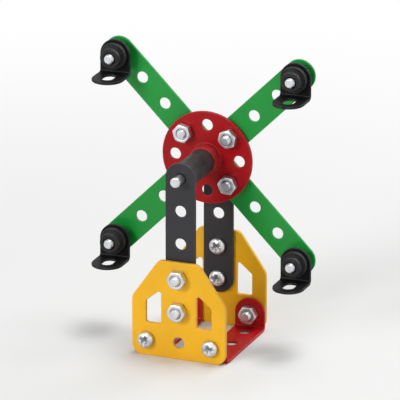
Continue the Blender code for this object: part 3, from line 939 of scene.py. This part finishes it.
black_plastic = moulded("black_moulding", "black_plastic", PLASTIC, rough=0.34)
seat_enamel = enamel("seat_enamel", "seat_black", BLACK, rough=0.36, shine=0.07)
for place, turn in SEAT_TURNS.items():
    fit_screw("seat_bolt_" + place, turn)
    fit_nut("seat_lock_nut_" + place, turn)
    node = "seat_bracket_" + place
    points, faces, mask = seat(size_of(node)[0], SEAT_GAUGE)
    fit(node + "_enamelled", points + pivots["seat_" + place], faces, mask, seat_enamel, node)
    node = "seat_bush_" + place
    flange_dia, length, _ = size_of(node)
    points, faces = sleeve(HOLE_DIA, stepped_bush(flange_dia, length))
    fit(node + "_moulding", points + front_of(node), faces, 0, black_plastic, node)

# Floor, light and camera
# A pale matt floor that turns white away from the toy, a soft lamp in front on the left, one
# overhead, weaker ones on the right and behind, and a long lens at the photograph's viewing angle.
FLOOR_SIZE = 3.0
FLOOR_DROP = 0.02 * MM
FLOOR_COLOUR = (0.80, 0.80, 0.79, 1)
FLOOR_WHITE_FROM = 0.10
FLOOR_WHITE_TO = 0.42
WHITE = (1, 1, 1, 1)
SKY_COLOUR = (0.95, 0.97, 1.0, 1)
SKY_STRENGTH = 0.26
AZIMUTH = 22.2
ELEVATION = 19.4
DISTANCE = 1.9
LENS = 464.0
NEAREST = 10 * MM
LOOK_AT = Vector((0.0, 0.0, 0.0555))


def seen_rays(flow):
    """1 for rays of the camera, of gloss and of glass, and 0 for those that light the object."""
    camera, glossy, through = [flow.node("ShaderNodeLightPath", {}, {}, output=kind) for kind in
                               ("Is Camera Ray", "Is Glossy Ray", "Is Transmission Ray")]
    return (camera + glossy + through).math('MINIMUM', 1.0)


def lamp(name, spot, power, size):
    """A square soft lamp aimed at the toy."""
    light = bpy.data.lights.new(name, 'AREA')
    light.energy = power
    light.size = size
    holder = bpy.data.objects.new(name, light)
    holder.location = spot
    holder.rotation_euler = (LOOK_AT - Vector(spot)).to_track_quat('-Z', 'Y').to_euler()
    bpy.context.collection.objects.link(holder)


floor_mesh = bpy.data.meshes.new("floor")
half = FLOOR_SIZE / 2
corners = [(-half, -half, 0), (half, -half, 0), (half, half, 0), (-half, half, 0)]
floor_mesh.from_pydata(corners, [], [(0, 1, 2, 3)])
floor = bpy.data.objects.new("floor", floor_mesh)
floor.location = (0, 0, -FLOOR_DROP)
bpy.context.collection.objects.link(floor)
floor_look, shader, place = finish("pale_floor", "floor")
floor_mesh.materials.append(floor_look)
feed(shader, {"Base Color": FLOOR_COLOUR, "Roughness": 0.6, "Specular IOR Level": 0.2})
away = place.node("ShaderNodeVectorMath", {"operation": 'LENGTH'}, {0: place}, output="Value")
white = away.step(FLOOR_WHITE_FROM, FLOOR_WHITE_TO) * seen_rays(place)
glow = place.node("ShaderNodeEmission", {}, {"Color": WHITE, "Strength": 1.0})
paint = Flow(place.tree, shader.outputs[0])
mixed = place.node("ShaderNodeMixShader", {}, {0: white, 1: paint, 2: glow})
output = next(n for n in floor_look.node_tree.nodes if n.type == 'OUTPUT_MATERIAL')
place.tree.links.new(mixed.socket, output.inputs["Surface"])

world = bpy.data.worlds.new("studio")
bpy.context.scene.world = world
world.use_nodes = True
tree = world.node_tree
tree.nodes.clear()
start = Flow(tree, None)
soft = start.node("ShaderNodeBackground", {}, {"Color": SKY_COLOUR, "Strength": SKY_STRENGTH})
shown = start.node("ShaderNodeBackground", {}, {"Color": WHITE, "Strength": 1.0})
sky = start.node("ShaderNodeMixShader", {}, {0: seen_rays(start), 1: soft, 2: shown})
output = tree.nodes.new("ShaderNodeOutputWorld")
tree.links.new(sky.socket, output.inputs["Surface"])

lamp("key_lamp", (-0.40, -0.95, 0.52), power=6.4, size=0.40)
lamp("fill_lamp", (0.95, -0.45, 0.45), power=1.2, size=0.8)
lamp("top_lamp", (0.18, 0.20, 1.15), power=7.6, size=0.5)
lamp("back_lamp", (0.35, 0.95, 0.55), power=3.4, size=0.6)

lens = bpy.data.cameras.new("camera")
lens.lens = LENS
lens.clip_start = NEAREST
camera = bpy.data.objects.new("camera", lens)
azimuth, elevation = math.radians(AZIMUTH), math.radians(ELEVATION)
level = math.cos(elevation)
outwards = Vector((math.sin(azimuth) * level, -math.cos(azimuth) * level, math.sin(elevation)))
camera.location = LOOK_AT + DISTANCE * outwards
camera.rotation_euler = (LOOK_AT - camera.location).to_track_quat('-Z', 'Y').to_euler()
bpy.context.collection.objects.link(camera)
bpy.context.scene.camera = camera
bpy.context.scene.view_settings.view_transform = 'Standard'
